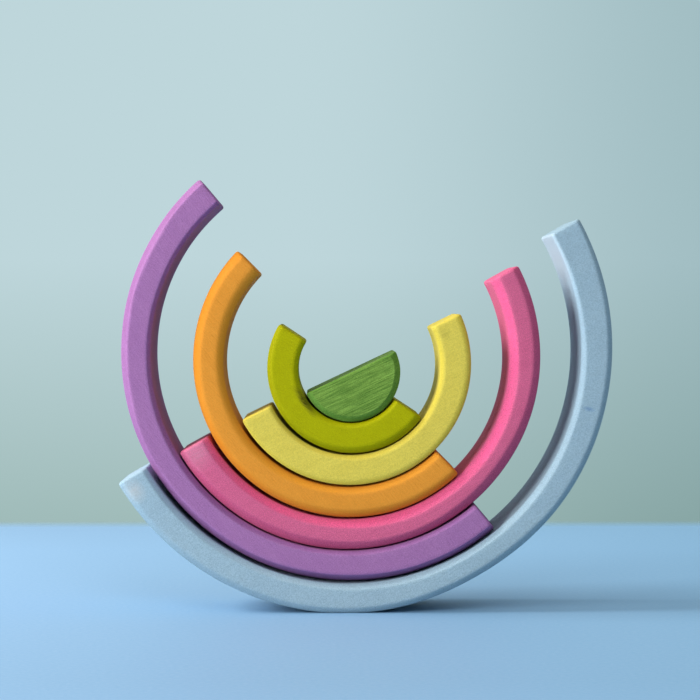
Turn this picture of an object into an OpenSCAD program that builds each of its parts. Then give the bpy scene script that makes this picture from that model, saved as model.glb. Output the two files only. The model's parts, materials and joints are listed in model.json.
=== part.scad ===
// Wooden rainbow stacker, rocked apart.
// Six half rings and a half disc, sawn from one block, lie upside down in one another like
// cradles. Each one is tipped the other way from the one it lies in, and the whole stack
// stands on the round back of the outermost arch.
// Units are millimetres. +X is to the right, +Y to the back and +Z up.

/* [Pieces] */
// Radius of the half disc in the middle
disc_r = 16.5; // [14:0.5:22]
// Step in outer radius from one piece to the next one out
pitch = 12; // [10:0.5:16]
// Play between a piece's back and the hollow that it lies in, across the radius
slack = 1; // [0.8:0.1:2]
// How much lower a hollow's centre is than its arch's own, which makes the crown thinner than the ends
hollow_drop = 1; // [0:0.1:1.5]
// Depth of every piece, front to back
depth = 40; // [25:1:60]
// How far the arches' ends stop short of a whole half circle
end_trim = 1; // [0.5:0.1:2]

/* [Edges] */
// Bevel along the curved front and back edges
bevel = 2.4; // [0.8:0.1:3]
// Bevel round the end faces of the arches
end_bevel = 0.7; // [0.3:0.1:1.2]
// Bevel along the edges of the half disc's flat face
flat_bevel = 1.4; // [0.5:0.1:2]

/* [Tilt] */
// Tilt of the sky blue arch, in degrees, where a raised right end is positive
blue_tilt = 29.9; // [22:0.1:36]
// Tilt of the purple arch
purple_tilt = -49.8; // [-58:0.1:-40]
// Tilt of the pink arch
pink_tilt = 28.9; // [20:0.1:36]
// Tilt of the orange arch
orange_tilt = -45.3; // [-54:0.1:-36]
// Tilt of the yellow arch
yellow_tilt = 26; // [18:0.1:34]
// Tilt of the lime arch
lime_tilt = -33.4; // [-42:0.1:-24]
// Tilt of the half disc
disc_tilt = 25.3; // [15:0.1:35]

/* [Rest] */
// Gap kept at the spot where a piece rests in the next one out
rest_gap = 0.3; // [0.2:0.05:0.5]
// Depth of the flat on the sky blue arch's back, which the stack stands on and which keeps its tilt
stand_flat = 0.3; // [0.1:0.05:0.5]
// Where the purple arch rests, in degrees from straight down towards the right
purple_lean = 50; // [-60:1:60]
// Where the pink arch rests
pink_lean = -11; // [-60:1:60]
// Where the orange arch rests
orange_lean = 52; // [-60:1:60]
// Where the yellow arch rests
yellow_lean = 47; // [-60:1:60]
// Where the lime arch rests
lime_lean = 42; // [-60:1:60]
// Where the half disc rests
disc_lean = 5; // [-60:1:60]

/* [Hidden] */
NODES = [
    "sky_blue_arch", "purple_arch", "pink_arch", "orange_arch", "yellow_arch", "lime_arch",
    "green_half_disc"
];
$fn = 180;

// Pieces are counted from the outermost arch, 0, to the half disc, last
last = len(NODES) - 1;
wall = pitch - slack;
half_depth = depth / 2;
rest_play = slack - rest_gap;
tilts = [blue_tilt, purple_tilt, pink_tilt, orange_tilt, yellow_tilt, lime_tilt, disc_tilt];
leans = [0, purple_lean, pink_lean, orange_lean, yellow_lean, lime_lean, disc_lean];

// Radius of a piece's round back, and of an arch's hollow
function back_r(i) = disc_r + (last - i) * pitch;
function hollow_r(i) = back_r(i) - wall;

// Centre of a piece's circle, seen from the point under the outermost arch's centre: each piece lies
// in the hollow of the one before, off that hollow's centre by the play that its lean uses up
function centre_x(i) =
    i == 0 ? 0 : centre_x(i - 1) + hollow_drop * sin(tilts[i - 1]) + rest_play * sin(leans[i]);
function centre_z(i) =
    i == 0 ? back_r(0) - stand_flat
    : centre_z(i - 1) - hollow_drop * cos(tilts[i - 1]) - rest_play * cos(leans[i]);

// The stack's width is centred on the origin: its right side is the outermost arch's back, and
// its left side is that arch's lower end or the purple arch's back, whichever goes further
end_drop = end_trim + end_bevel;
end_reach = sqrt(pow(back_r(0), 2) - pow(end_drop, 2)) * cos(blue_tilt) - end_drop * sin(blue_tilt);
left_reach = max(back_r(1) - centre_x(1), end_reach);
shift_x = (left_reach - back_r(0)) / 2;

// Outline of a round back's section, and of a hollow's, which flares where it leaves the wood
function back_section(i) = [
    [0, -half_depth], [back_r(i) - bevel, -half_depth], [back_r(i), bevel - half_depth],
    [back_r(i), half_depth - bevel], [back_r(i) - bevel, half_depth], [0, half_depth]
];
function hollow_section(i) = [
    [0, -depth], [hollow_r(i) + bevel + half_depth, -depth],
    [hollow_r(i), bevel - half_depth], [hollow_r(i), half_depth - bevel],
    [hollow_r(i) + bevel + half_depth, depth], [0, depth]
];

// A back's section swept through the lower half circle, and a hollow's swept all round
module half_turn(section) {
    rotate([90, 0, 0])
        rotate([0, 0, 180])
            rotate_extrude(angle = 180)
                polygon(section);
}
module full_turn(section) {
    rotate([90, 0, 0])
        rotate_extrude()
            polygon(section);
}

// Square bar that bevels an edge running front to back, or left to right
module bevel_bar_y(size) {
    rotate([0, 45, 0])
        cube([size * sqrt(2), 2 * depth, size * sqrt(2)], center = true);
}
module bevel_bar_x(size, length) {
    rotate([45, 0, 0])
        cube([length, size * sqrt(2), size * sqrt(2)], center = true);
}

// A piece at its place in the stack, tipped about its own centre
module in_place(i) {
    translate([shift_x + centre_x(i), 0, centre_z(i)])
        rotate([0, -tilts[i], 0])
            children();
}

// Everything lower than the table top, which is at z = 0
module below_table() {
    size = 4 * back_r(0);
    translate([0, 0, -size / 2])
        cube(size, center = true);
}

// A half ring, open side up, with its two ends sawn level and their edges broken
module arch(i) {
    back_edge = sqrt(pow(back_r(i), 2) - pow(end_trim, 2));
    hollow_edge = sqrt(pow(hollow_r(i), 2) - pow(end_trim - hollow_drop, 2));
    span = 3 * back_r(i);
    difference() {
        half_turn(back_section(i));
        translate([0, 0, -hollow_drop])
            full_turn(hollow_section(i));
        cube([span, 2 * depth, 2 * end_trim], center = true);
        for (x = [-back_edge, -hollow_edge, hollow_edge, back_edge])
            translate([x, 0, -end_trim])
                bevel_bar_y(end_bevel);
        for (side = [-1, 1])
            translate([0, side * half_depth, -end_trim])
                bevel_bar_x(end_bevel, span);
    }
}

// The solid middle piece, flat side up
module half_disc() {
    difference() {
        half_turn(back_section(last));
        for (x = [-disc_r, disc_r])
            translate([x, 0, 0])
                bevel_bar_y(end_bevel);
        for (side = [-1, 1])
            translate([0, side * half_depth, 0])
                bevel_bar_x(flat_bevel, 3 * disc_r);
    }
}

module sky_blue_arch() {
    color("#8fb1c8") difference() {
        in_place(0) arch(0);
        below_table();
    }
}
module purple_arch() {
    color("#a070b0") in_place(1) arch(1);
}
module pink_arch() {
    color("#c7628e") in_place(2) arch(2);
}
module orange_arch() {
    color("#dc9639") in_place(3) arch(3);
}
module yellow_arch() {
    color("#cec556") in_place(4) arch(4);
}
module lime_arch() {
    color("#a3a80c") in_place(5) arch(5);
}
module green_half_disc() {
    color("#6a9344") in_place(6) half_disc();
}

sky_blue_arch();
purple_arch();
pink_arch();
orange_arch();
yellow_arch();
lime_arch();
green_half_disc();
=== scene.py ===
"""Looks of a rainbow stacker: six stained wooden arches and a half disc, rocked apart.

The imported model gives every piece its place. Each piece is rebuilt there as a soft-edged, hand-sanded
solid in its own stained wood, on a plain pale floor in soft light from the left and the front.
"""

import json
import logging
import math
from dataclasses import dataclass
from enum import Enum

import bpy
from mathutils import Euler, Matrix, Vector

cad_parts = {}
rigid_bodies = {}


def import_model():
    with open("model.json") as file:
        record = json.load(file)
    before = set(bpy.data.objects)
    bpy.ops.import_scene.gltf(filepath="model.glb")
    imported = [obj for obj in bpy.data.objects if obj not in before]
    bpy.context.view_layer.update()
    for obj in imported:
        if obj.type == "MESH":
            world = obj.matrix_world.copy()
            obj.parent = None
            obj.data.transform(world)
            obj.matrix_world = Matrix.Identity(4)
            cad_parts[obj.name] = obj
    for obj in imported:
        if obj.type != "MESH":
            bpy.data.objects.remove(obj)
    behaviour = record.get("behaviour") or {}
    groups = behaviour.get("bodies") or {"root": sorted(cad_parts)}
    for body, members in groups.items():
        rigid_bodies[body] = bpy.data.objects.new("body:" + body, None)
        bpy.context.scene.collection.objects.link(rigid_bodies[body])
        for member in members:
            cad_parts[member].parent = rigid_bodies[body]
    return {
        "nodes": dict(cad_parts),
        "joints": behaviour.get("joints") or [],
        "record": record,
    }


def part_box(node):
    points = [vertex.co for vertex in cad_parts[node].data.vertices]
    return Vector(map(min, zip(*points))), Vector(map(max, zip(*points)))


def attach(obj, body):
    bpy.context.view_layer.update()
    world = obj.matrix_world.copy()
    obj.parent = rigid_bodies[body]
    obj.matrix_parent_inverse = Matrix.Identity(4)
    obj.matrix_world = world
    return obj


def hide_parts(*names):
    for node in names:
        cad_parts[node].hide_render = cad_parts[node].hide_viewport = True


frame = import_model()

LOG = logging.getLogger("rainbow_stacker")
MM = 0.001

# Node kinds that the trees use most
MATH = "ShaderNodeMath"
VECTOR = "ShaderNodeVectorMath"
NOISE = "ShaderNodeTexNoise"
MIX = "ShaderNodeMix"
RANGE = "ShaderNodeMapRange"
SPLIT = "ShaderNodeSeparateXYZ"
JOIN = "ShaderNodeCombineXYZ"

# Span that most of a noise's values lie in
NOISE_SPAN = (0.3, 0.7)

# Names of the attributes that the solids hand to their wood
EDGE_ATTRIBUTE = "sanded_edge"
SWEEP_ATTRIBUTE = "saw_travel"


def linear(hex_colour: str) -> tuple[float, float, float, float]:
    """Turns an sRGB hex colour into a linear one.

    Args:
        hex_colour: Six hex digits, such as "8fb1c8".

    Returns:
        Linear red, green and blue, and an alpha of one.
    """
    shares = [int(hex_colour[start:start + 2], 16) / 255 for start in (0, 2, 4)]
    red, green, blue = (s / 12.92 if s <= 0.04045 else ((s + 0.055) / 1.055) ** 2.4 for s in shares)
    return red, green, blue, 1.0


def add(
    tree: bpy.types.NodeTree,
    kind: str,
    *links: object,
    named: dict[str, object] | None = None,
    **settings: object,
) -> bpy.types.Node:
    """Adds a node with its settings, then links or sets its inputs.

    Args:
        tree: The tree that the node joins.
        kind: The node's type.
        *links: One entry for each input in use, in order: a node or socket to link, a value to set,
            or None to leave it as it is.
        named: Further inputs by name, given in the same way.
        **settings: The node's own properties.

    Returns:
        The new node.
    """
    node = tree.nodes.new(kind)
    for name, value in settings.items():
        setattr(node, name, value)
    in_use = [socket for socket in node.inputs if socket.enabled]
    pairs = list(zip(in_use, links)) + [(node.inputs[name], link) for name, link in (named or {}).items()]
    for socket, link in pairs:
        if isinstance(link, bpy.types.Node):
            link = next(output for output in link.outputs if output.enabled)
        if isinstance(link, bpy.types.NodeSocket):
            tree.links.new(link, socket)
        elif link is not None:
            socket.default_value = link
    return node


def add_inputs(tree: bpy.types.NodeTree, kinds: dict[str, str]) -> bpy.types.Node:
    """Gives a geometry tree its named inputs and its one output.

    Args:
        tree: The empty geometry tree.
        kinds: Socket type of each input, by the input's name.

    Returns:
        The node that the inputs come out of.
    """
    for name, kind in kinds.items():
        tree.interface.new_socket(name, in_out="INPUT", socket_type=kind)
    tree.interface.new_socket("Solid", in_out="OUTPUT", socket_type="NodeSocketGeometry")
    return tree.nodes.new("NodeGroupInput")


def solid_from_tree(name: str, tree: bpy.types.NodeTree, values: dict[str, object]) -> bpy.types.Object:
    """Runs a geometry tree once and keeps what it makes as a plain mesh.

    Args:
        name: Name of the finished piece.
        tree: The geometry tree.
        values: Value of each of the tree's inputs, by name.

    Returns:
        The piece, with no modifier left on it.
    """
    piece = bpy.data.objects.new(name, bpy.data.meshes.new(name + "_start"))
    bpy.context.scene.collection.objects.link(piece)
    modifier = piece.modifiers.new("shape", "NODES")
    modifier.node_group = tree
    for socket in tree.interface.items_tree:
        if socket.in_out == "INPUT":
            modifier[socket.identifier] = values[socket.name]
    evaluated = piece.evaluated_get(bpy.context.evaluated_depsgraph_get())
    mesh = bpy.data.meshes.new_from_object(evaluated)
    mesh.name = name
    # The start mesh has no material, which leaves an empty slot before the real one
    mesh.materials.pop(index=0)
    piece.modifiers.remove(modifier)
    piece.data = mesh
    return piece


class MarkKind(Enum):
    """What left a mark on the wood."""

    SAW_SCORCH = "saw scorch"
    STAIN_STREAK = "stain streak"
    BARE_WOOD = "bare wood"
    # A thin stain mark also serves as a painted highlight
    THIN_STAIN = "thin stain"


@dataclass(frozen=True)
class Mark:
    """One mark on a piece's front, placed on its own circle.

    Attributes:
        kind: What left it.
        angle: Degrees from straight below the centre towards the right end, along the arch.
        radius: Distance from the centre, in metres.
        size: Half its length along the arch and half its width across it, in metres.
        strength: How far it changes the colour, from 0 to 1.
    """

    kind: MarkKind
    angle: float
    radius: float
    size: tuple[float, float]
    strength: float


@dataclass(frozen=True)
class Place:
    """Where a piece lies in the stack.

    Attributes:
        centre: Centre of its circle.
        back_radius: Radius of its round back, in metres.
        tilt: Radians that its right end is raised by.
    """

    centre: Vector
    back_radius: float
    tilt: float


@dataclass(frozen=True)
class StackSizes:
    """Sizes that the pieces share, in metres, and every piece's place.

    Attributes:
        wall: Thickness of an arch at its ends.
        hollow_drop: How much lower a hollow's centre is than its arch's own.
        depth: Depth from front to back.
        end_trim: How far the arches' ends stop short of a half circle.
        places: Place of each piece, by its node.
    """

    wall: float
    hollow_drop: float
    depth: float
    end_trim: float
    places: dict[str, Place]


def read_sizes() -> StackSizes:
    """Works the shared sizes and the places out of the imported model.

    Returns:
        The stack's sizes.
    """
    table_reach = 0.01 * MM
    outer = frame["record"]["behaviour"]["joints"][0]["parent"]
    low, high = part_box(outer)
    flat = [v.co.x for v in frame["nodes"][outer].data.vertices if v.co.z < table_reach]
    centre_x = (min(flat) + max(flat)) / 2
    half_flat = (max(flat) - min(flat)) / 2
    radius = high.x - centre_x
    centre = Vector((centre_x, 0, math.sqrt(radius ** 2 - half_flat ** 2)))

    mounts = {mount["name"]: mount for mount in frame["record"]["mounts"]}
    left = Vector(mounts["left_foot"]["pos_m"])
    right = Vector(mounts["right_foot"]["pos_m"])
    along_feet = right - left
    tilt = math.atan2(along_feet.z, along_feet.x)
    wall = 2 * radius - along_feet.length
    along_crown = Vector((math.sin(tilt), 0, -math.cos(tilt)))
    hollow_lows = [
        (v.co - centre).dot(along_crown) for v in frame["nodes"][outer].data.vertices
        if abs(v.co.y) < high.y - MM and (v.co - centre).xz.length < radius - wall / 2
    ]
    places = {outer: Place(centre, radius, tilt)}
    for joint in frame["joints"]:
        pivot = Vector(joint["pos_m"])
        upright = sum(joint["range_deg"]) / 2
        turned = places[joint["parent"]].tilt - math.radians(upright)
        places[joint["child"]] = Place(pivot, pivot.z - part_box(joint["child"])[0].z, turned)
    return StackSizes(
        wall=wall,
        hollow_drop=max(hollow_lows) - (radius - wall),
        depth=high.y - low.y,
        end_trim=(centre - (left + right) / 2).length,
        places=places,
    )


@dataclass(frozen=True)
class StainedWood:
    """Lime wood, sawn from one block, hand sanded and coloured with a matt water stain.

    The stain soaks into the open fibres, so they read as fine darker streaks along the grain. On the bevels
    the colour is a little deeper on the back, partly stain and partly painted shade, and brighter on the
    hollow side as painted light. Wetting raises the grain, so the surface is sandy and nothing on it
    shines.

    Attributes:
        name: Name of the finish.
        stain: Hex colour on the flat sides.
        deep: Hex colour where the stain soaks in.
        edge: Hex colour along the bevels on its back, partly stain soaked in deeper and partly painted
            shade.
        hollow_edge_painted_light: Hex colour along the bevels on its hollow side, brighter as painted
            light.
        grain: How strongly the grain shows, from 0 to 1.
        grit: How strongly the sanded surface is speckled, from 0 to 1.
    """

    name: str
    stain: str
    deep: str
    edge: str
    hollow_edge_painted_light: str
    grain: float
    grit: float

    # Fibre streaks are finer than this in life, and are drawn as wide as they need to show
    FIBRE_LENGTH = 8 * MM
    FIBRE_WIDTH = 0.36 * MM
    RING_SPACING = 3.4 * MM
    RING_LENGTH = 70 * MM
    MOTTLE_SIZE = 13 * MM
    PATCHINESS = 0.45
    PORE_LENGTH = 3.2 * MM
    PORE_WIDTH = 0.45 * MM
    PORE_SPAN = (0.6, 0.78)
    PORE_STAIN = 0.5
    SAW_PITCH = 1.05 * MM
    SAW_UNREST = 3 * MM
    # Most that the unrest moves a ripple, in ripples
    SAW_WANDER = 2.5
    SAW_PATCH = 22 * MM
    SAW_PATCH_SPAN = (0.45, 0.7)
    # Height of the ripples, as a share of the fibres' own
    SAW_HEIGHT = 0.2
    GRIT_SIZE = 0.32 * MM
    BUMP_HEIGHT = 0.12 * MM
    BUMP_STRENGTH = 0.5
    # How the mottle breaks up the bevels' colour, stain with painted shade and light, and the fibres break
    # up
    # a mark: span, then least and most
    EDGE_PATCHES = (0.35, 0.7, 0.5, 1.0)
    RAGGEDNESS = (0.3, 0.6, 0.45, 1.0)
    ROUGHNESS = (0.6, 0.78)
    SPECULAR = 0.08
    WOOD_IOR = 1.5
    # Step through the block from one piece to the next, so that no two share their grain
    BLOCK_STEP = (0.37, 0.11, 0.23)
    MARK_COLOURS = {
        MarkKind.SAW_SCORCH: "3a3312",
        MarkKind.STAIN_STREAK: "5c7fa6",
        MarkKind.BARE_WOOD: "d9cfc4",
        # This pale also paints a highlight on the inside of the sky blue arch's hollow
        MarkKind.THIN_STAIN: "f0eff3",
    }

    def material(self, place: Place, seed: int, marks: tuple[Mark, ...]) -> bpy.types.Material:
        """Makes the finish for one piece, with its grain along the piece's straight edge.

        Args:
            place: Where the piece lies.
            seed: Which part of the block it was sawn from.
            marks: The marks on its front.

        Returns:
            The material.
        """
        material = bpy.data.materials.new(self.name)
        material.use_nodes = True
        tree = material.node_tree
        tree.nodes.clear()
        seen = add(tree, "ShaderNodeTexCoord").outputs["Object"]
        turn = (0, -place.tilt, 0)
        local = add(tree, "ShaderNodeMapping", seen, place.centre, turn, vector_type="TEXTURE")
        shift = tuple(step * seed for step in self.BLOCK_STEP)
        block = add(tree, VECTOR, local, shift, operation="ADD")

        fibres = self._streaks(tree, block, self.FIBRE_LENGTH, self.FIBRE_WIDTH, 3.0)
        rings = self._streaks(tree, block, self.RING_LENGTH, self.RING_SPACING, 1.5)
        pores = self._streaks(tree, block, self.PORE_LENGTH, self.PORE_WIDTH, 1.0)
        pore_pits = add(tree, RANGE, pores, *self.PORE_SPAN, 0.0, 1.0)
        mottle = add(tree, NOISE, block, 1 / self.MOTTLE_SIZE, 4.0, 0.6)
        saw_marks = self._saw_marks(tree, block)
        specks = add(tree, NOISE, block, 1 / self.GRIT_SIZE, 2.0, 0.6)
        colour = self._colour(tree, fibres, rings, pore_pits, mottle)
        colour = self._edged(tree, colour, mottle)
        tone = add(tree, RANGE, specks, *NOISE_SPAN, 1 - self.grit, 1 + self.grit)
        colour = add(tree, VECTOR, colour, tone, operation="SCALE")
        for mark in marks:
            colour = self._marked(tree, colour, local, fibres, mark)

        rough = add(tree, RANGE, fibres, *NOISE_SPAN, *self.ROUGHNESS)
        relief = add(tree, MATH, fibres, pore_pits, operation="SUBTRACT")
        relief = add(tree, MATH, relief, saw_marks, operation="ADD")
        relief = add(tree, MATH, relief, specks, operation="ADD")
        bump = add(tree, "ShaderNodeBump", named={
            "Strength": self.BUMP_STRENGTH, "Distance": self.BUMP_HEIGHT, "Height": relief,
        })
        surface = add(tree, "ShaderNodeBsdfPrincipled", named={
            "Base Color": colour, "Roughness": rough, "IOR": self.WOOD_IOR,
            "Specular IOR Level": self.SPECULAR, "Normal": bump,
        })
        add(tree, "ShaderNodeOutputMaterial", surface)
        return material

    def _streaks(
        self, tree: bpy.types.NodeTree, block: bpy.types.Node, length: float, width: float, detail: float
    ) -> bpy.types.Node:
        """Noise drawn out along the grain.

        Args:
            tree: The material's tree.
            block: Coordinates in the block, with X along the grain.
            length: Length of a streak, in metres.
            width: Width of a streak, in metres.
            detail: Octaves of finer streaks.

        Returns:
            The noise node.
        """
        drawn_out = add(tree, VECTOR, block, (1 / length, 1 / width, 1 / width), operation="MULTIPLY")
        return add(tree, NOISE, drawn_out, 1.0, detail, 0.55)

    def _saw_marks(self, tree: bpy.types.NodeTree, block: bpy.types.Node) -> bpy.types.Node:
        """Faint ripples across the arch, left in patches by the saw and the sanding belt.

        Args:
            tree: The material's tree.
            block: Coordinates in the block.

        Returns:
            The node that gives the ripples' height.
        """
        travel = add(tree, "ShaderNodeAttribute", attribute_name=SWEEP_ATTRIBUTE).outputs["Fac"]
        unrest = add(tree, NOISE, block, 1 / self.SAW_UNREST, 2.0, 0.5)
        unrest = add(tree, MATH, unrest, self.SAW_WANDER, operation="MULTIPLY")
        turns = add(tree, MATH, travel, 1 / self.SAW_PITCH, unrest, operation="MULTIPLY_ADD")
        wave = add(tree, MATH, add(tree, MATH, turns, math.tau, operation="MULTIPLY"), operation="SINE")
        patches = add(tree, NOISE, block, 1 / self.SAW_PATCH, 1.0, 0.5)
        amount = add(tree, RANGE, patches, *self.SAW_PATCH_SPAN, 0.0, self.SAW_HEIGHT)
        return add(tree, MATH, wave, amount, operation="MULTIPLY")

    def _colour(
        self,
        tree: bpy.types.NodeTree,
        fibres: bpy.types.Node,
        rings: bpy.types.Node,
        pore_pits: bpy.types.Node,
        mottle: bpy.types.Node,
    ) -> bpy.types.Node:
        """The stain's colour, deeper in the fibres, rings and pores and uneven all over.

        Args:
            tree: The material's tree.
            fibres: Fine streaks.
            rings: Broad bands of the yearly rings.
            pore_pits: Short dark pits.
            mottle: Patches where the wood drank more.

        Returns:
            The node that gives the colour.
        """
        patchy = add(tree, MATH, rings, mottle, operation="ADD")
        soaked = add(tree, MATH, patchy, self.PATCHINESS, fibres, operation="MULTIPLY_ADD")
        # Stronger grain has harder limits between light and dark
        spread = 0.45 - 0.25 * self.grain
        middle = 0.5 + self.PATCHINESS
        soaked = add(tree, RANGE, soaked, middle - spread, middle + spread, 0.0, self.grain)
        base = add(tree, MIX, soaked, linear(self.stain), linear(self.deep), data_type="RGBA")
        pitted = add(tree, MATH, pore_pits, self.PORE_STAIN * self.grain, operation="MULTIPLY")
        return add(tree, MIX, pitted, base, linear(self.deep), data_type="RGBA")

    def _edged(
        self, tree: bpy.types.NodeTree, colour: bpy.types.Node, mottle: bpy.types.Node
    ) -> bpy.types.Node:
        """Changes the colour along the bevels: darker on the back, partly stain that the cut fibres drink
        deeper and partly painted shade, and brighter on the hollow side as painted light.

        The edge attribute is positive on a piece's back and negative on its hollow side.

        Args:
            tree: The material's tree.
            colour: The colour so far.
            mottle: Patches that break the edge up.

        Returns:
            The node that gives the colour.
        """
        edge = add(tree, "ShaderNodeAttribute", attribute_name=EDGE_ATTRIBUTE).outputs["Fac"]
        patchy = add(tree, RANGE, mottle, *self.EDGE_PATCHES)
        # The hollow side's colour is painted light; the back's darker colour is partly painted shade
        for side, stain in ((1.0, self.edge), (-1.0, self.hollow_edge_painted_light)):
            on_side = add(tree, RANGE, edge, 0.0, side, 0.0, 1.0)
            soaked = add(tree, MATH, on_side, patchy, operation="MULTIPLY")
            colour = add(tree, MIX, soaked, colour, linear(stain), data_type="RGBA")
        return colour

    def _marked(
        self,
        tree: bpy.types.NodeTree,
        colour: bpy.types.Node,
        local: bpy.types.Node,
        fibres: bpy.types.Node,
        mark: Mark,
    ) -> bpy.types.Node:
        """Lays one mark over the colour, ragged along the grain.

        Args:
            tree: The material's tree.
            colour: The colour so far.
            local: Coordinates about the piece's own centre.
            fibres: Streaks that break the mark up.
            mark: The mark.

        Returns:
            The node that gives the colour.
        """
        swing = math.radians(mark.angle)
        spot = (mark.radius * math.sin(swing), 0, -mark.radius * math.cos(swing))
        reach = (mark.size[0], 1.0, mark.size[1])
        around = add(tree, "ShaderNodeMapping", local, spot, (0, -swing, 0), reach, vector_type="TEXTURE")
        distance = add(tree, VECTOR, around, operation="LENGTH")
        rim, core = 1.0, 0.2
        soft = add(tree, RANGE, distance.outputs["Value"], rim, core, 0.0, mark.strength)
        ragged = add(tree, RANGE, fibres, *self.RAGGEDNESS)
        amount = add(tree, MATH, soft, ragged, operation="MULTIPLY")
        return add(tree, MIX, amount, colour, linear(self.MARK_COLOURS[mark.kind]), data_type="RGBA")


class Softness:
    """How hand sanding rounds the pieces, in counts and shares."""

    # Steps of the mesh round an end edge, and points across the wall and the depth
    END_STEPS = 4
    WALL_POINTS = 17
    DEPTH_POINTS = 35
    RING_PITCH = 1.3 * MM
    BEVEL_SPREAD = 0.16
    WANDER_SPAN = (0.2, 0.8)
    BEVEL_WAVE = 38 * MM
    SURFACE_WAVE = 30 * MM
    # A higher power keeps the flat on a back nearer to the crown
    CROWN_POWER = 24
    # Share of a bevel's leg that is lost for each step inwards
    LEG_LOSS = 2 - math.sqrt(2)
    LEAST_BEVEL = 0.02 * MM
    # How deep under the surface the bevels' colour fades out, which is stain with painted shade
    # on the back and painted light on the hollow side
    EDGE_SKIN = 0.6 * MM
    # Steps through the noise that set the front edges apart from the back ones, and hollows from backs
    FRONT_SHIFT = 4.7
    HOLLOW_SHIFT = 9.3


@dataclass
class Piece:
    """A wooden piece of the stack.

    Attributes:
        node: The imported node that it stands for.
        finish: Its stained wood.
        seed: Which part of the block it was sawn from.
        marks: Marks on its front.
    """

    node: str
    finish: StainedWood
    seed: int
    marks: tuple[Mark, ...]

    def settle(self, piece: bpy.types.Object, slot: str) -> None:
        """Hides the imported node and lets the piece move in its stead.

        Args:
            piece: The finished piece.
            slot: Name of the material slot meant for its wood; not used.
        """
        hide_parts(self.node)
        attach(piece, self.node)
        LOG.info("%s: %d faces", piece.name, len(piece.data.polygons))


@dataclass
class Arch(Piece):
    """A half ring, open side up, bent from a soft-edged bar.

    Attributes:
        back_bevel: Leg of the bevels on its round back, in millimetres, at the left end, in the middle
            and at the right end.
        hollow_bevel: Leg of the bevels on its hollow side, given in the same way.
        slopes: How far the bevels on its back, and on its hollow side, reach in from the front for each
            step that they reach across it.
        roundness: Shape of the bevels, where 1 is a straight cut and 2 a quarter round.
        crown_flat: How much sanding takes off the middle of its round back, in metres.
        end_round: Radius of the edges of its sawn ends, in metres.
        unevenness: Most that hand sanding takes off its round sides, in metres.
    """

    back_bevel: tuple[float, float, float]
    hollow_bevel: tuple[float, float, float]
    slopes: tuple[float, float] = (1.0, 1.0)
    roundness: float = 1.15
    crown_flat: float = 0.0
    end_round: float = 0.95 * MM
    unevenness: float = 0.18 * MM

    INPUTS = {
        "Back Radius": "NodeSocketFloat",
        "Wall": "NodeSocketFloat",
        "Hollow Drop": "NodeSocketFloat",
        "Crown Flat": "NodeSocketFloat",
        "Depth": "NodeSocketFloat",
        "Back Bevel": "NodeSocketVector",
        "Hollow Bevel": "NodeSocketVector",
        "Bevel Slopes": "NodeSocketVector",
        "Roundness": "NodeSocketFloat",
        "End Trim": "NodeSocketFloat",
        "End Round": "NodeSocketFloat",
        "Unevenness": "NodeSocketFloat",
        "Rings": "NodeSocketInt",
        "Seed": "NodeSocketInt",
        "Tilt": "NodeSocketFloat",
        "Centre": "NodeSocketVector",
        "Wood": "NodeSocketMaterial",
    }

    def build(self, sizes: StackSizes, tree: bpy.types.NodeTree) -> bpy.types.Object:
        """Makes the arch at its place, in its wood.

        Args:
            sizes: The stack's sizes.
            tree: The tree that bends a bar into an arch.

        Returns:
            The finished piece.
        """
        place = sizes.places[self.node]
        return solid_from_tree(self.node + "_wood", tree, {
            "Back Radius": place.back_radius,
            "Wall": sizes.wall,
            "Hollow Drop": sizes.hollow_drop,
            "Crown Flat": self.crown_flat,
            "Depth": sizes.depth,
            "Back Bevel": Vector(self.back_bevel) * MM,
            "Hollow Bevel": Vector(self.hollow_bevel) * MM,
            "Bevel Slopes": Vector((*self.slopes, 0)),
            "Roundness": self.roundness,
            "End Trim": sizes.end_trim,
            "End Round": self.end_round,
            "Unevenness": self.unevenness,
            "Rings": 2 * round(math.pi * place.back_radius / Softness.RING_PITCH / 2) + 1,
            "Seed": self.seed,
            "Tilt": place.tilt,
            "Centre": place.centre,
            "Wood": self.finish.material(place, self.seed, self.marks),
        })


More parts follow.
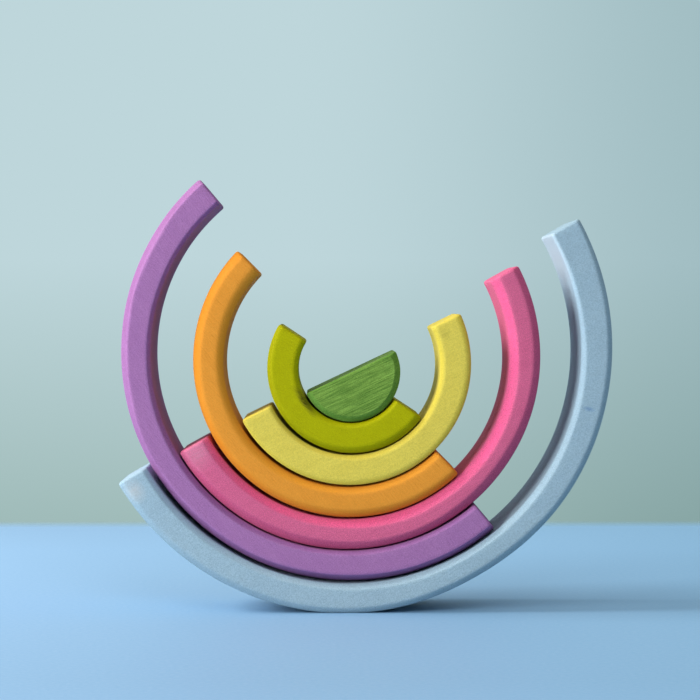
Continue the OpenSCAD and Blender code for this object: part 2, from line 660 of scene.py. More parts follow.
class ArchTree:
    """The rule for an arch: a box of unit half size becomes a soft bar, and the bar is bent round.

    On the box, X runs along the arch, Y from front to back, and Z from the round back to the hollow.
    """

    def __init__(self) -> None:
        """Builds the whole tree."""
        self.tree = bpy.data.node_groups.new("soft_edged_arch", "GeometryNodeTree")
        self.sizes = add_inputs(self.tree, Arch.INPUTS).outputs
        tree = self.tree
        box = add(tree, "GeometryNodeMeshCube", (2, 2, 2), self.sizes["Rings"], Softness.DEPTH_POINTS,
                  Softness.WALL_POINTS)
        self.spot = add(tree, SPLIT, add(tree, "GeometryNodeInputPosition"))
        self._run_along()
        self._soften()
        place = self._bend()
        edged = add(tree, "GeometryNodeStoreNamedAttribute", box, None, EDGE_ATTRIBUTE, self.edge)
        sawn = add(tree, "GeometryNodeStoreNamedAttribute", edged, None, SWEEP_ATTRIBUTE, self.travel)
        bent = add(tree, "GeometryNodeSetPosition", sawn, None, place)
        finish_tree(tree, bent, self.sizes)

    def _run_along(self) -> None:
        """Finds how far along the arch a point is, and how far the end's round edge draws it in."""
        tree, sizes = self.tree, self.sizes
        half_rings = add(tree, MATH, sizes["Rings"], 0.5, -0.5, operation="MULTIPLY_ADD")
        from_middle = add(tree, MATH, self.spot.outputs["X"], operation="ABSOLUTE")
        left_over = add(tree, MATH, 1.0, from_middle, operation="SUBTRACT")
        steps = add(tree, MATH, left_over, half_rings, operation="MULTIPLY")
        share = add(tree, MATH, steps, Softness.END_STEPS, operation="DIVIDE", use_clamp=True)
        turn = add(tree, MATH, share, math.pi / 2, operation="MULTIPLY")
        drawn_in = add(tree, MATH, 1.0, add(tree, MATH, turn, operation="SINE"), operation="SUBTRACT")
        self.inset = add(tree, MATH, drawn_in, sizes["End Round"], operation="MULTIPLY")
        self.end_share = add(tree, MATH, 1.0, share, operation="SUBTRACT")

        middle_radius = add(tree, MATH, sizes["Wall"], -0.5, sizes["Back Radius"], operation="MULTIPLY_ADD")
        half_arc = add(tree, MATH, middle_radius, math.pi / 2, operation="MULTIPLY")
        plain_arc = add(tree, MATH, half_arc, sizes["End Round"], operation="SUBTRACT")
        plain_steps = add(tree, MATH, half_rings, Softness.END_STEPS, operation="SUBTRACT")
        pitch = add(tree, MATH, plain_arc, plain_steps, operation="DIVIDE")
        beyond = add(tree, MATH, steps, Softness.END_STEPS, operation="SUBTRACT")
        beyond = add(tree, MATH, beyond, 0.0, operation="MAXIMUM")
        past_edge = add(tree, MATH, 1.0, add(tree, MATH, turn, operation="COSINE"), operation="SUBTRACT")
        near = add(tree, MATH, past_edge, sizes["End Round"], operation="MULTIPLY")
        from_end = add(tree, MATH, beyond, pitch, near, operation="MULTIPLY_ADD")
        to_middle = add(tree, MATH, half_arc, from_end, operation="SUBTRACT")
        side = add(tree, MATH, self.spot.outputs["X"], operation="SIGN")
        self.travel = add(tree, MATH, to_middle, side, operation="MULTIPLY")
        self.swing = add(tree, MATH, self.travel, half_arc, operation="DIVIDE")
        from_crown = add(tree, MATH, self.swing, math.pi / 2, operation="MULTIPLY")
        crown = add(tree, MATH, from_crown, operation="COSINE")
        thinner = add(tree, MATH, crown, sizes["Hollow Drop"], operation="MULTIPLY")
        self.wall = add(tree, MATH, sizes["Wall"], thinner, operation="SUBTRACT")
        near_crown = add(tree, MATH, crown, Softness.CROWN_POWER, operation="POWER")
        self.crown_loss = add(tree, MATH, near_crown, sizes["Crown Flat"], operation="MULTIPLY")

    def _soften(self) -> None:
        """Turns the box's square section into a bar's, with bevels whose width wanders."""
        tree, sizes = self.tree, self.sizes
        quarter = math.pi / 2
        out = add(tree, MATH, self.spot.outputs["Z"], -quarter, operation="MULTIPLY")
        back = add(tree, MATH, self.spot.outputs["Y"], quarter, operation="MULTIPLY")
        crowded_out = add(tree, MATH, out, operation="SINE")
        crowded_back = add(tree, MATH, back, operation="SINE")
        crowded = add(tree, JOIN, crowded_out, crowded_back)
        half_wall = add(tree, MATH, self.wall, 0.5, operation="MULTIPLY")
        half_depth = add(tree, MATH, sizes["Depth"], 0.5, operation="MULTIPLY")
        half = add(tree, JOIN, add(tree, MATH, half_wall, self.inset, operation="SUBTRACT"),
                   add(tree, MATH, half_depth, self.inset, operation="SUBTRACT"))
        square = add(tree, VECTOR, crowded, half, operation="MULTIPLY")
        from_axis = add(tree, VECTOR, square, operation="ABSOLUTE")
        room = add(tree, VECTOR, half, from_axis, operation="SUBTRACT")
        room_split = add(tree, SPLIT, room)
        shell = add(tree, MATH, room_split.outputs["X"], room_split.outputs["Y"], operation="MINIMUM")
        into = add(tree, VECTOR, room, shell, operation="SUBTRACT")
        into_split = add(tree, SPLIT, into)

        bevel = self._bevel(add(tree, MATH, self.inset, shell, operation="ADD"))
        slopes = add(tree, SPLIT, sizes["Bevel Slopes"])
        slope = add(tree, MIX, self.on_hollow, slopes.outputs["X"], slopes.outputs["Y"])
        deep_leg = add(tree, MATH, bevel, slope, operation="MULTIPLY")
        off = add(tree, MATH, into_split.outputs["Y"], into_split.outputs["X"], operation="SUBTRACT")
        other_leg = add(tree, MATH, bevel, -1.0, operation="MULTIPLY")
        lean = add(tree, RANGE, off, other_leg, deep_leg, 0.0, quarter)
        power = add(tree, MATH, 2.0, sizes["Roundness"], operation="DIVIDE")
        low = add(tree, MATH, add(tree, MATH, lean, operation="SINE"), power, operation="POWER")
        high = add(tree, MATH, add(tree, MATH, lean, operation="COSINE"), power, operation="POWER")
        cut = add(tree, VECTOR, (1, 1, 0), add(tree, JOIN, low, high), operation="SUBTRACT")
        cut = add(tree, VECTOR, cut, add(tree, JOIN, bevel, deep_leg), operation="MULTIPLY")
        soft = add(tree, VECTOR, add(tree, VECTOR, into, cut, operation="MAXIMUM"), shell, operation="ADD")
        kept = add(tree, VECTOR, half, soft, operation="SUBTRACT")
        side = add(tree, VECTOR, square, operation="SIGN")
        self.section = add(tree, SPLIT, add(tree, VECTOR, kept, side, operation="MULTIPLY"))

        # Mask of the bevels, whose colour carries painted shade on the back and painted light on the hollow
        slant = add(tree, MATH, add(tree, MATH, lean, 2.0, operation="MULTIPLY"), operation="SINE")
        skin = add(tree, RANGE, shell, 0.0, Softness.EDGE_SKIN, 1.0, 0.0)
        edge = add(tree, MATH, slant, self.end_share, operation="MAXIMUM")
        soaked = add(tree, MATH, edge, skin, operation="MULTIPLY")
        between_ends = add(tree, MATH, 1.0, self.end_share, operation="SUBTRACT")
        hollow_share = add(tree, MATH, self.on_hollow, between_ends, operation="MULTIPLY")
        sign = add(tree, MIX, hollow_share, 1.0, -1.0)
        self.edge = add(tree, MATH, soaked, sign, operation="MULTIPLY")

    def _bevel(self, depth_in: bpy.types.Node) -> bpy.types.Node:
        """The bevel's leg at a point, which wanders along each edge as a hand-held sander does.

        Args:
            depth_in: How far in from the bar's side the point is.

        Returns:
            The node that gives the leg, in metres.
        """
        tree, sizes = self.tree, self.sizes
        on_hollow = add(tree, MATH, self.spot.outputs["Z"], 0.0, operation="GREATER_THAN")
        self.on_hollow = on_hollow
        legs = add(tree, SPLIT, add(tree, MIX, on_hollow, sizes["Back Bevel"], sizes["Hollow Bevel"],
                                    data_type="VECTOR"))
        to_right = add(tree, MATH, self.swing, 0.0, operation="GREATER_THAN")
        end_leg = add(tree, MIX, to_right, legs.outputs["X"], legs.outputs["Z"])
        aside = add(tree, MATH, self.swing, self.swing, operation="MULTIPLY")
        leg = add(tree, MIX, aside, legs.outputs["Y"], end_leg)
        along = add(tree, MATH, self.travel, 1 / Softness.BEVEL_WAVE, operation="MULTIPLY")
        front = add(tree, MATH, self.spot.outputs["Y"], operation="SIGN")
        front = add(tree, MATH, front, Softness.FRONT_SHIFT, operation="MULTIPLY")
        which = add(tree, MATH, on_hollow, Softness.HOLLOW_SHIFT, sizes["Seed"], operation="MULTIPLY_ADD")
        wander = add(tree, NOISE, add(tree, JOIN, along, front, which), 1.0, 1.0, 0.5)
        low, high = 1 - Softness.BEVEL_SPREAD, 1 + Softness.BEVEL_SPREAD
        factor = add(tree, RANGE, wander, *Softness.WANDER_SPAN, low, high)
        wide = add(tree, MATH, leg, factor, operation="MULTIPLY")
        narrowed = add(tree, MATH, depth_in, -Softness.LEG_LOSS, wide, operation="MULTIPLY_ADD")
        return add(tree, MATH, narrowed, Softness.LEAST_BEVEL, operation="MAXIMUM")

    def _bend(self) -> bpy.types.Node:
        """Bends the bar round, with its ends level and its sides a little uneven.

        Returns:
            The node that gives a point's place on the arch.
        """
        tree, sizes = self.tree, self.sizes
        out, back = self.section.outputs["X"], self.section.outputs["Y"]
        where = add(tree, VECTOR, add(tree, JOIN, self.travel, back), (1 / Softness.SURFACE_WAVE,) * 3,
                    operation="MULTIPLY")
        drift = add(tree, JOIN, sizes["Seed"], sizes["Seed"], sizes["Seed"])
        wander = add(tree, NOISE, add(tree, VECTOR, where, drift, operation="ADD"), 1.0, 2.0, 0.45)
        taken = add(tree, SPLIT, wander.outputs["Color"])
        outward = add(tree, MATH, add(tree, MATH, out, self.wall, operation="DIVIDE"), 0.5, operation="ADD")
        inward = add(tree, MATH, 1.0, outward, operation="SUBTRACT")
        off_back = add(tree, MATH, outward, taken.outputs["X"], operation="MULTIPLY")
        off_hollow = add(tree, MATH, inward, taken.outputs["Y"], operation="MULTIPLY")
        off = add(tree, MATH, off_hollow, off_back, operation="SUBTRACT")
        middle_radius = add(tree, MATH, self.wall, -0.5, sizes["Back Radius"], operation="MULTIPLY_ADD")
        true_radius = add(tree, MATH, middle_radius, out, operation="ADD")
        sanded_radius = add(tree, MATH, off, sizes["Unevenness"], true_radius, operation="MULTIPLY_ADD")
        flattened = add(tree, MATH, outward, self.crown_loss, operation="MULTIPLY")
        radius = add(tree, MATH, sanded_radius, flattened, operation="SUBTRACT")
        off_face = add(tree, MATH, taken.outputs["Z"], sizes["Unevenness"], operation="MULTIPLY")
        off_face = add(tree, MATH, off_face, sizes["Depth"], operation="DIVIDE")
        kept = add(tree, MATH, 1.0, off_face, operation="SUBTRACT")
        depth = add(tree, MATH, back, kept, operation="MULTIPLY")

        trim_share = add(tree, MATH, sizes["End Trim"], radius, operation="DIVIDE")
        dip = add(tree, MATH, trim_share, operation="ARCSINE")
        reach = add(tree, MATH, math.pi / 2, dip, operation="SUBTRACT")
        swing = add(tree, MATH, self.swing, reach, operation="MULTIPLY")
        across = add(tree, MATH, radius, add(tree, MATH, swing, operation="SINE"), operation="MULTIPLY")
        down = add(tree, MATH, radius, add(tree, MATH, swing, operation="COSINE"), operation="MULTIPLY")
        return add(tree, JOIN, across, depth, add(tree, MATH, down, -1.0, operation="MULTIPLY"))


def finish_tree(
    tree: bpy.types.NodeTree, shape: bpy.types.Node, sizes: bpy.types.NodeOutputs
) -> None:
    """Ends a piece's tree: tips and places the shape, stops it at the table and gives it its wood.

    Args:
        tree: The piece's tree.
        shape: The node that gives the shape about its own centre.
        sizes: The tree's inputs.
    """
    tip = add(tree, JOIN, 0.0, add(tree, MATH, sizes["Tilt"], -1.0, operation="MULTIPLY"))
    turn = add(tree, "FunctionNodeEulerToRotation", tip)
    placed = add(tree, "GeometryNodeTransform", shape, named={
        "Translation": sizes["Centre"], "Rotation": turn,
    })
    far_below = -1.0
    standing = add(tree, VECTOR, add(tree, "GeometryNodeInputPosition"), (far_below, far_below, 0),
                   operation="MAXIMUM")
    stood = add(tree, "GeometryNodeSetPosition", placed, None, standing)
    smooth = add(tree, "GeometryNodeSetShadeSmooth", stood)
    whole = add(tree, "GeometryNodeRealizeInstances", smooth)
    wooden = add(tree, "GeometryNodeSetMaterial", whole, None, sizes["Wood"])
    add(tree, "NodeGroupOutput", wooden)


@dataclass
class HalfDisc(Piece):
    """The solid middle piece, flat side up.

    Attributes:
        round_bevel: Leg of the bevels on its round edges, in metres.
        flat_bevel: Leg of the bevels along its flat side, in metres.
        corner_round: Radius of the two edges where flat and round meet, in metres.
        unevenness: Most that hand sanding takes off its round side, in metres.
    """

    round_bevel: float
    flat_bevel: float
    corner_round: float = 0.35 * MM
    unevenness: float = 0.18 * MM

    INPUTS = {
        "Radius": "NodeSocketFloat",
        "Depth": "NodeSocketFloat",
        "Round Bevel": "NodeSocketFloat",
        "Flat Bevel": "NodeSocketFloat",
        "Corner Round": "NodeSocketFloat",
        "Unevenness": "NodeSocketFloat",
        "Seed": "NodeSocketInt",
        "Tilt": "NodeSocketFloat",
        "Centre": "NodeSocketVector",
        "Wood": "NodeSocketMaterial",
    }

    def build(self, sizes: StackSizes, tree: bpy.types.NodeTree) -> bpy.types.Object:
        """Makes the half disc at its place, in its wood.

        Args:
            sizes: The stack's sizes.
            tree: The tree that rounds a box into a half disc.

        Returns:
            The finished piece.
        """
        place = sizes.places[self.node]
        return solid_from_tree(self.node + "_wood", tree, {
            "Radius": place.back_radius,
            "Depth": sizes.depth,
            "Round Bevel": self.round_bevel,
            "Flat Bevel": self.flat_bevel,
            "Corner Round": self.corner_round,
            "Unevenness": self.unevenness,
            "Seed": self.seed,
            "Tilt": place.tilt,
            "Centre": place.centre,
            "Wood": self.finish.material(place, self.seed, self.marks),
        })


class HalfDiscTree:
    """The rule for the half disc: half of a square swells to half of a circle, drawn in at both faces.

    On the box, X runs along the flat side, Y from front to back and Z up to the flat side.
    """

    ACROSS_POINTS = 41
    DEPTH_POINTS = 37
    DOWN_POINTS = 23
    BEVEL_STEPS = 7
    ROUNDNESS = 1.12
    # Share of the height that counts as near the flat side
    NEAR_FLAT = 0.12
    # Higher powers keep a change nearer to the sides, and nearer to the flat side
    SIDE_POWER = 10.0
    FLAT_POWER = 6.0
    # Waves of the bevels and of the round side in one radius
    BEVEL_WAVES = 1.3
    SURFACE_WAVES = 1.2

    def __init__(self) -> None:
        """Builds the whole tree."""
        self.tree = bpy.data.node_groups.new("soft_edged_half_disc", "GeometryNodeTree")
        self.sizes = add_inputs(self.tree, HalfDisc.INPUTS).outputs
        tree = self.tree
        box = add(tree, "GeometryNodeMeshCube", (2, 2, 2), self.ACROSS_POINTS, self.DEPTH_POINTS,
                  self.DOWN_POINTS)
        self.spot = add(tree, SPLIT, add(tree, "GeometryNodeInputPosition"))
        self._draw_in()
        place = self._swell()
        edged = add(tree, "GeometryNodeStoreNamedAttribute", box, None, EDGE_ATTRIBUTE, self.edge)
        sawn = add(tree, "GeometryNodeStoreNamedAttribute", edged, None, SWEEP_ATTRIBUTE, self.across)
        rounded = add(tree, "GeometryNodeSetPosition", sawn, None, place)
        finish_tree(tree, rounded, self.sizes)

    def _draw_in(self) -> None:
        """Finds how far the bevels at the front and back draw a point in, and its depth."""
        tree, sizes = self.tree, self.sizes
        half_steps = (self.DEPTH_POINTS - 1) / 2
        from_middle = add(tree, MATH, self.spot.outputs["Y"], operation="ABSOLUTE")
        steps = add(tree, MATH, from_middle, -half_steps, half_steps, operation="MULTIPLY_ADD")
        share = add(tree, MATH, steps, self.BEVEL_STEPS, operation="DIVIDE", use_clamp=True)
        turn = add(tree, MATH, share, math.pi / 2, operation="MULTIPLY")
        power = 2 / self.ROUNDNESS
        low = add(tree, MATH, add(tree, MATH, turn, operation="SINE"), power, operation="POWER")
        high = add(tree, MATH, add(tree, MATH, turn, operation="COSINE"), power, operation="POWER")
        drawn_in = add(tree, MATH, 1.0, low, operation="SUBTRACT")
        set_back = add(tree, MATH, 1.0, high, operation="SUBTRACT")
        slant = add(tree, MATH, add(tree, MATH, turn, 2.0, operation="MULTIPLY"), operation="SINE")
        self.edge = slant

        quarter = math.pi / 2
        level = add(tree, MATH, self.spot.outputs["Z"], quarter, operation="MULTIPLY")
        level = add(tree, MATH, level, operation="SINE")
        self.level = add(tree, MATH, level, 0.5, -0.5, operation="MULTIPLY_ADD")
        aside = add(tree, MATH, self.spot.outputs["X"], quarter, operation="MULTIPLY")
        self.aside = add(tree, MATH, aside, operation="SINE")
        near_top = add(tree, RANGE, self.level, -self.NEAR_FLAT, 0.0, 0.0, 1.0)
        near_side = add(tree, MATH, self.aside, operation="ABSOLUTE")
        near_side = add(tree, MATH, near_side, self.SIDE_POWER, operation="POWER")
        on_flat = add(tree, MATH, near_top, add(tree, MATH, 1.0, near_side, operation="SUBTRACT"),
                      operation="MULTIPLY")

        front = add(tree, MATH, self.spot.outputs["Y"], operation="SIGN")
        front = add(tree, MATH, front, Softness.FRONT_SHIFT, operation="MULTIPLY")
        shifted = add(tree, MATH, self.level, front, operation="ADD")
        around = add(tree, JOIN, self.aside, shifted, sizes["Seed"])
        wander = add(tree, NOISE, around, self.BEVEL_WAVES, 1.0, 0.5)
        low_share, high_share = 1 - Softness.BEVEL_SPREAD, 1 + Softness.BEVEL_SPREAD
        factor = add(tree, RANGE, wander, *Softness.WANDER_SPAN, low_share, high_share)
        leg = add(tree, MIX, on_flat, sizes["Round Bevel"], sizes["Flat Bevel"])
        leg = add(tree, MATH, leg, factor, operation="MULTIPLY")
        round_leg = add(tree, MATH, sizes["Round Bevel"], factor, operation="MULTIPLY")
        self.round_inset = add(tree, MATH, round_leg, drawn_in, operation="MULTIPLY")
        self.flat_inset = add(tree, MATH, sizes["Flat Bevel"], drawn_in, operation="MULTIPLY")
        half_depth = add(tree, MATH, sizes["Depth"], 0.5, operation="MULTIPLY")
        plain = add(tree, MATH, half_depth, leg, operation="SUBTRACT")
        beyond = add(tree, MATH, steps, self.BEVEL_STEPS, operation="SUBTRACT")
        beyond = add(tree, MATH, beyond, 0.0, operation="MAXIMUM")
        walked = add(tree, MATH, beyond, 1 / (half_steps - self.BEVEL_STEPS), operation="MULTIPLY")
        near = add(tree, MATH, leg, set_back, operation="MULTIPLY")
        from_face = add(tree, MATH, plain, walked, near, operation="MULTIPLY_ADD")
        from_centre = add(tree, MATH, half_depth, from_face, operation="SUBTRACT")
        side = add(tree, MATH, self.spot.outputs["Y"], operation="SIGN")
        self.depth = add(tree, MATH, from_centre, side, operation="MULTIPLY")

    def _swell(self) -> bpy.types.Node:
        """Swells the half square to a half circle and rounds its two corners.

        Returns:
            The node that gives a point's place on the half disc.
        """
        tree, sizes = self.tree, self.sizes
        where = add(tree, JOIN, self.aside, self.level, sizes["Seed"])
        wander = add(tree, NOISE, where, self.SURFACE_WAVES, 2.0, 0.45)
        worn = add(tree, MATH, wander, sizes["Unevenness"], self.round_inset, operation="MULTIPLY_ADD")
        wide = add(tree, MATH, sizes["Radius"], worn, operation="SUBTRACT")
        tall = add(tree, MATH, wide, self.flat_inset, operation="SUBTRACT")
        pull_in = add(tree, MATH, self.level, self.level, operation="MULTIPLY")
        pull_in = add(tree, MATH, pull_in, -0.5, 1.0, operation="MULTIPLY_ADD")
        pull_in = add(tree, MATH, pull_in, operation="SQRT")
        pull_up = add(tree, MATH, self.aside, self.aside, operation="MULTIPLY")
        pull_up = add(tree, MATH, pull_up, -0.5, 1.0, operation="MULTIPLY_ADD")
        pull_up = add(tree, MATH, pull_up, operation="SQRT")
        across = add(tree, MATH, add(tree, MATH, self.aside, pull_in, operation="MULTIPLY"), wide,
                     operation="MULTIPLY")
        down = add(tree, MATH, add(tree, MATH, self.level, pull_up, operation="MULTIPLY"), tall,
                   operation="MULTIPLY")
        down = add(tree, MATH, down, self.flat_inset, operation="SUBTRACT")
        self.across = across

        past = add(tree, MATH, add(tree, MATH, across, operation="ABSOLUTE"), wide, operation="SUBTRACT")
        past = add(tree, MATH, add(tree, MATH, past, sizes["Corner Round"], operation="DIVIDE"), 1.0,
                   operation="ADD", use_clamp=True)
        level_cut = add(tree, MATH, past, past, operation="MULTIPLY")
        level_cut = add(tree, MATH, 1.0, level_cut, operation="SUBTRACT")
        level_cut = add(tree, MATH, 1.0, add(tree, MATH, level_cut, operation="SQRT"), operation="SUBTRACT")
        high = add(tree, MATH, self.level, 1.0, operation="ADD")
        high = add(tree, MATH, high, self.FLAT_POWER, operation="POWER")
        lowered = add(tree, MATH, level_cut, high, operation="MULTIPLY")
        lowered = add(tree, MATH, lowered, sizes["Corner Round"], operation="MULTIPLY")
        return add(tree, JOIN, across, self.depth, add(tree, MATH, down, lowered, operation="SUBTRACT"))


@dataclass(frozen=True)
class SoftBox:
    """One square soft light that faces the stack.

    Attributes:
        name: Its name.
        towards: Direction from the stack to it.
        distance: Metres from the stack.
        size: Side of the square, in metres.
        power: Power in watts.
    """

    name: str
    towards: Vector
    distance: float
    size: float
    power: float


@dataclass
class Studio:
    """A plain pale floor, a pale far wall, soft light from the left and the front, and the camera.

    Attributes:
        floor: Hex colour of the floor at the left.
        floor_dim: Hex colour of the floor at the right.
        wall_high: Hex colour of the wall, high up.
        wall_low: Hex colour of the wall near the floor.
        wall_dim: Hex colour that the wall's right side is dimmed by.
        room: Hex colour of the dimmer room in front.
        ceiling: Hex colour of the ceiling.
        lens: Focal length, in millimetres on a sensor 36 mm wide.
        camera: The camera's place, in metres.
        look: How far the camera looks to the right and up, in degrees.
    """

    floor: str = "93bbde"
    floor_dim: str = "90bfe2"
    wall_high: str = "bed6db"
    wall_low: str = "9db9b6"
    wall_dim: str = "d8e1e2"
    room: str = "505559"
    ceiling: str = "bdc3c6"
    lens: float = 128.6
    camera: tuple[float, float, float] = (-0.0153, -0.8500, 0.1022)
    look: tuple[float, float] = (0.690, -1.005)

    FLOOR_BACK = 0.337
    FLOOR_FADE = 0.032
    FLOOR_REACH = 2.2
    FLOOR_ROUGHNESS = (0.5, 0.62)
    FLOOR_SPECULAR = 0.3
    ROLLER_SIZE = 1.5 * MM
    # Where the floor's tone changes, in metres to the right and to the back, and its share in front,
    # where painted shade makes it darker
    DIM_SPAN = (-0.14, 0.14)
    NEAR_SPAN = (-0.17, 0.2)
    NEAR_PAINTED_SHADE = (0.75, 1.0)
    # Where the surroundings change: how far a look of length one goes up, to the right or to the back
    WALL_RISE = (-0.0934, 0.0189)
    WALL_ASIDE = (-0.018, 0.18)
    WALL_BEHIND = (-0.1, 0.6)
    OVERHEAD = (0.3, 0.8)
    AIM = Vector((0, 0, 0.07))
    SOFT_BOXES = (
        SoftBox("low_soft_box", Vector((-0.77, -0.60, 0.21)), 1.0, 0.4, 6.9),
        SoftBox("side_soft_box", Vector((-0.84, -0.07, 0.53)), 1.0, 0.36, 9.8),
        SoftBox("front_soft_box", Vector((0.07, -0.85, 0.53)), 1.0, 0.4, 2.0),
    )

    def build(self) -> None:
        """Sets up the floor, the wall, the light and the camera."""
        self._lay_floor()
        self._paint_surroundings()
        self._hang_lights()
        self._aim_camera()
        bpy.context.scene.view_settings.view_transform = "Standard"

    def _lay_floor(self) -> None:
        """Lays a floor that ends behind the stack in a soft straight line."""
        reach, back = self.FLOOR_REACH, self.FLOOR_BACK
        corners = [(-reach, -reach, 0), (reach, -reach, 0), (reach, back, 0), (-reach, back, 0)]
        mesh = bpy.data.meshes.new("floor")
        mesh.from_pydata(corners, [], [(0, 1, 2, 3)])
        floor = bpy.data.objects.new("floor", mesh)
        bpy.context.scene.collection.objects.link(floor)
        # A board rolled with matt paint: pale blue, with no gloss and a faint grain; its colour is even
        # apart from painted shade that darkens it towards the front and a slight change of tone to the
        # right
        material = bpy.data.materials.new("matt_painted_board")
        material.use_nodes = True
        tree = material.node_tree
        tree.nodes.clear()
        seen = add(tree, "ShaderNodeTexCoord").outputs["Object"]
        roller = add(tree, NOISE, seen, 1 / self.ROLLER_SIZE, 2.0, 0.5)
        rough = add(tree, RANGE, roller, *NOISE_SPAN, *self.FLOOR_ROUGHNESS)
        spot = add(tree, SPLIT, seen)
        dim = add(tree, RANGE, spot.outputs["X"], *self.DIM_SPAN, 0.0, 1.0)
        tone = add(tree, MIX, dim, linear(self.floor), linear(self.floor_dim), data_type="RGBA")
        # Painted shade: the floor is painted darker towards the front, down to three quarters
        near = add(tree, RANGE, spot.outputs["Y"], *self.NEAR_SPAN, *self.NEAR_PAINTED_SHADE)
        tone = add(tree, VECTOR, tone, near, operation="SCALE")
        paint = add(tree, "ShaderNodeBsdfPrincipled", named={
            "Base Color": tone, "Roughness": rough, "Specular IOR Level": self.FLOOR_SPECULAR,
        })
        gone = add(tree, RANGE, spot.outputs["Y"], back - self.FLOOR_FADE, back, 0.0, 1.0)
        faded = add(tree, "ShaderNodeMixShader", gone, paint, add(tree, "ShaderNodeBsdfTransparent"))
        add(tree, "ShaderNodeOutputMaterial", faded)
        mesh.materials.append(material)

    def _paint_surroundings(self) -> None:
        """Puts the pale wall behind the stack and the dimmer room in front of it."""
        world = bpy.data.worlds.new("studio")
        world.use_nodes = True
        tree = world.node_tree
        tree.nodes.clear()
        towards = add(tree, SPLIT, add(tree, "ShaderNodeTexCoord").outputs["Generated"])
        rise = add(tree, RANGE, towards.outputs["Z"], *self.WALL_RISE, 0.0, 1.0)
        wall = add(tree, MIX, rise, linear(self.wall_low), linear(self.wall_high), data_type="RGBA")
        aside = add(tree, RANGE, towards.outputs["X"], *self.WALL_ASIDE, 0.0, 1.0,
                    interpolation_type="SMOOTHSTEP")
        wall = add(tree, MIX, aside, wall, linear(self.wall_dim), data_type="RGBA", blend_type="MULTIPLY")
        behind = add(tree, RANGE, towards.outputs["Y"], *self.WALL_BEHIND, 0.0, 1.0)
        overhead = add(tree, RANGE, towards.outputs["Z"], *self.OVERHEAD, 0.0, 1.0,
                       interpolation_type="SMOOTHSTEP")
        around = add(tree, MIX, behind, linear(self.room), wall, data_type="RGBA")
        around = add(tree, MIX, overhead, around, linear(self.ceiling), data_type="RGBA")
        glow = add(tree, "ShaderNodeBackground", around, 1.0)
        add(tree, "ShaderNodeOutputWorld", glow)
        bpy.context.scene.world = world

    def _hang_lights(self) -> None:
        """Hangs the soft boxes and turns them to the stack."""
        for box in self.SOFT_BOXES:
            light = bpy.data.lights.new(box.name, "AREA")
            light.shape = "SQUARE"
            light.size = box.size
            light.energy = box.power
            lamp = bpy.data.objects.new(box.name, light)
            lamp.location = self.AIM + box.towards.normalized() * box.distance
            lamp.rotation_euler = (self.AIM - lamp.location).to_track_quat("-Z", "Y").to_euler()
            bpy.context.scene.collection.objects.link(lamp)

    def _aim_camera(self) -> None:
        """Places the camera at the photograph's view."""
        data = bpy.data.cameras.new("camera")
        data.lens = self.lens
        camera = bpy.data.objects.new("camera", data)
        right, up = (math.radians(angle) for angle in self.look)
        camera.location = self.camera
        camera.rotation_euler = Euler((math.pi / 2 + up, 0, -right))
        bpy.context.scene.collection.objects.link(camera)
        bpy.context.scene.camera = camera
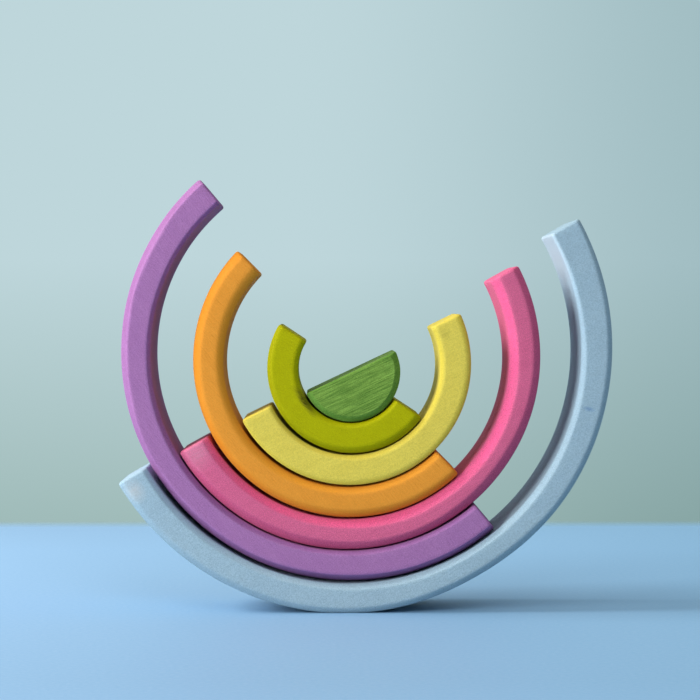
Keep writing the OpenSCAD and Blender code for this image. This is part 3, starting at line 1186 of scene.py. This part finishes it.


# In each wood the fourth colour, on the hollow bevels, is brighter as painted light, and the third, on the
# back bevels, is darker, partly as deeper stain and partly as painted shade
ARCHES = (
    Arch(
        "sky_blue_arch",
        StainedWood("sky_blue_stained_lime_wood", "9db4be", "859eaf", "94acb7", "a3bcc8", 0.4, 0.18),
        seed=1,
        marks=(
            Mark(MarkKind.STAIN_STREAK, 46.0, 83 * MM, (1.0 * MM, 2.6 * MM), 0.7),
            Mark(MarkKind.BARE_WOOD, -86.0, 85 * MM, (5 * MM, 4 * MM), 0.4),
            # Pale band inside the hollow near the right end: partly thin stain, partly a painted highlight
            Mark(MarkKind.THIN_STAIN, 86.0, 76.5 * MM, (15 * MM, 2.5 * MM), 0.4),
        ),
        back_bevel=(2.2, 2.2, 1.3),
        hollow_bevel=(1.6, 2.3, 0.9),
        slopes=(0.85, 1.0),
        crown_flat=0.85 * MM,
    ),
    Arch(
        "purple_arch",
        StainedWood("purple_stained_lime_wood", "a572a2", "89578d", "93608f", "96629a", 0.35, 0.22),
        seed=2,
        marks=(),
        back_bevel=(2.2, 2.2, 2.2),
        hollow_bevel=(1.1, 1.5, 1.2),
        slopes=(2.4, 1.3),
    ),
    Arch(
        "pink_arch",
        StainedWood("pink_stained_lime_wood", "d46688", "b84c72", "cd577c", "ea5c8c", 0.4, 0.25),
        seed=3,
        marks=(
            Mark(MarkKind.THIN_STAIN, -87.0, 59.5 * MM, (8 * MM, 6 * MM), 0.12),
        ),
        back_bevel=(2.5, 3.0, 2.3),
        hollow_bevel=(2.5, 3.2, 3.4),
    ),
    Arch(
        "orange_arch",
        StainedWood("orange_stained_lime_wood", "e49536", "ca7920", "dc8725", "e9982d", 0.35, 0.08),
        seed=4,
        marks=(),
        back_bevel=(3.0, 2.8, 2.5),
        hollow_bevel=(3.4, 2.7, 2.4),
        slopes=(1.1, 1.0),
        roundness=1.5,
    ),
    Arch(
        "yellow_arch",
        StainedWood("yellow_stained_lime_wood", "ddc856", "c6ae40", "d5be45", "d5be45", 0.4, 0.14),
        seed=5,
        marks=(
            Mark(MarkKind.SAW_SCORCH, 81.0, 33 * MM, (2.2 * MM, 2.6 * MM), 0.18),
        ),
        back_bevel=(1.2, 1.8, 2.0),
        hollow_bevel=(1.2, 1.8, 1.8),
        slopes=(0.65, 1.0),
        roundness=1.45,
    ),
    Arch(
        "lime_arch",
        StainedWood("lime_stained_lime_wood", "adaa01", "928d01", "989400", "aba702", 0.35, 0.16),
        seed=6,
        marks=(
            Mark(MarkKind.SAW_SCORCH, -22.0, 19.4 * MM, (7 * MM, 1.7 * MM), 0.95),
        ),
        back_bevel=(1.3, 2.0, 2.4),
        hollow_bevel=(2.0, 1.5, 1.2),
        slopes=(0.9, 1.0),
        roundness=1.3,
    ),
)
HALF_DISC = HalfDisc(
    "green_half_disc",
    StainedWood("green_stained_lime_wood", "83a648", "51752b", "5f8a36", "5f8a36", 1.0, 0.2),
    seed=7,
    marks=(),
    round_bevel=2.1 * MM,
    flat_bevel=0.45 * MM,
)


def main() -> None:
    """Builds the studio and the seven pieces in order, and reports each piece."""
    logging.basicConfig(level=logging.INFO, format="%(name)s: %(message)s")
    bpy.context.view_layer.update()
    sizes = read_sizes()
    slots = {part["node"]: part["material_slot"] for part in frame["record"]["subparts"]}
    Studio().build()
    arch_tree = ArchTree().tree
    for arch in ARCHES:
        arch.settle(arch.build(sizes, arch_tree), slots[arch.node])
    HALF_DISC.settle(HALF_DISC.build(sizes, HalfDiscTree().tree), slots[HALF_DISC.node])


if __name__ == "__main__":
    main()
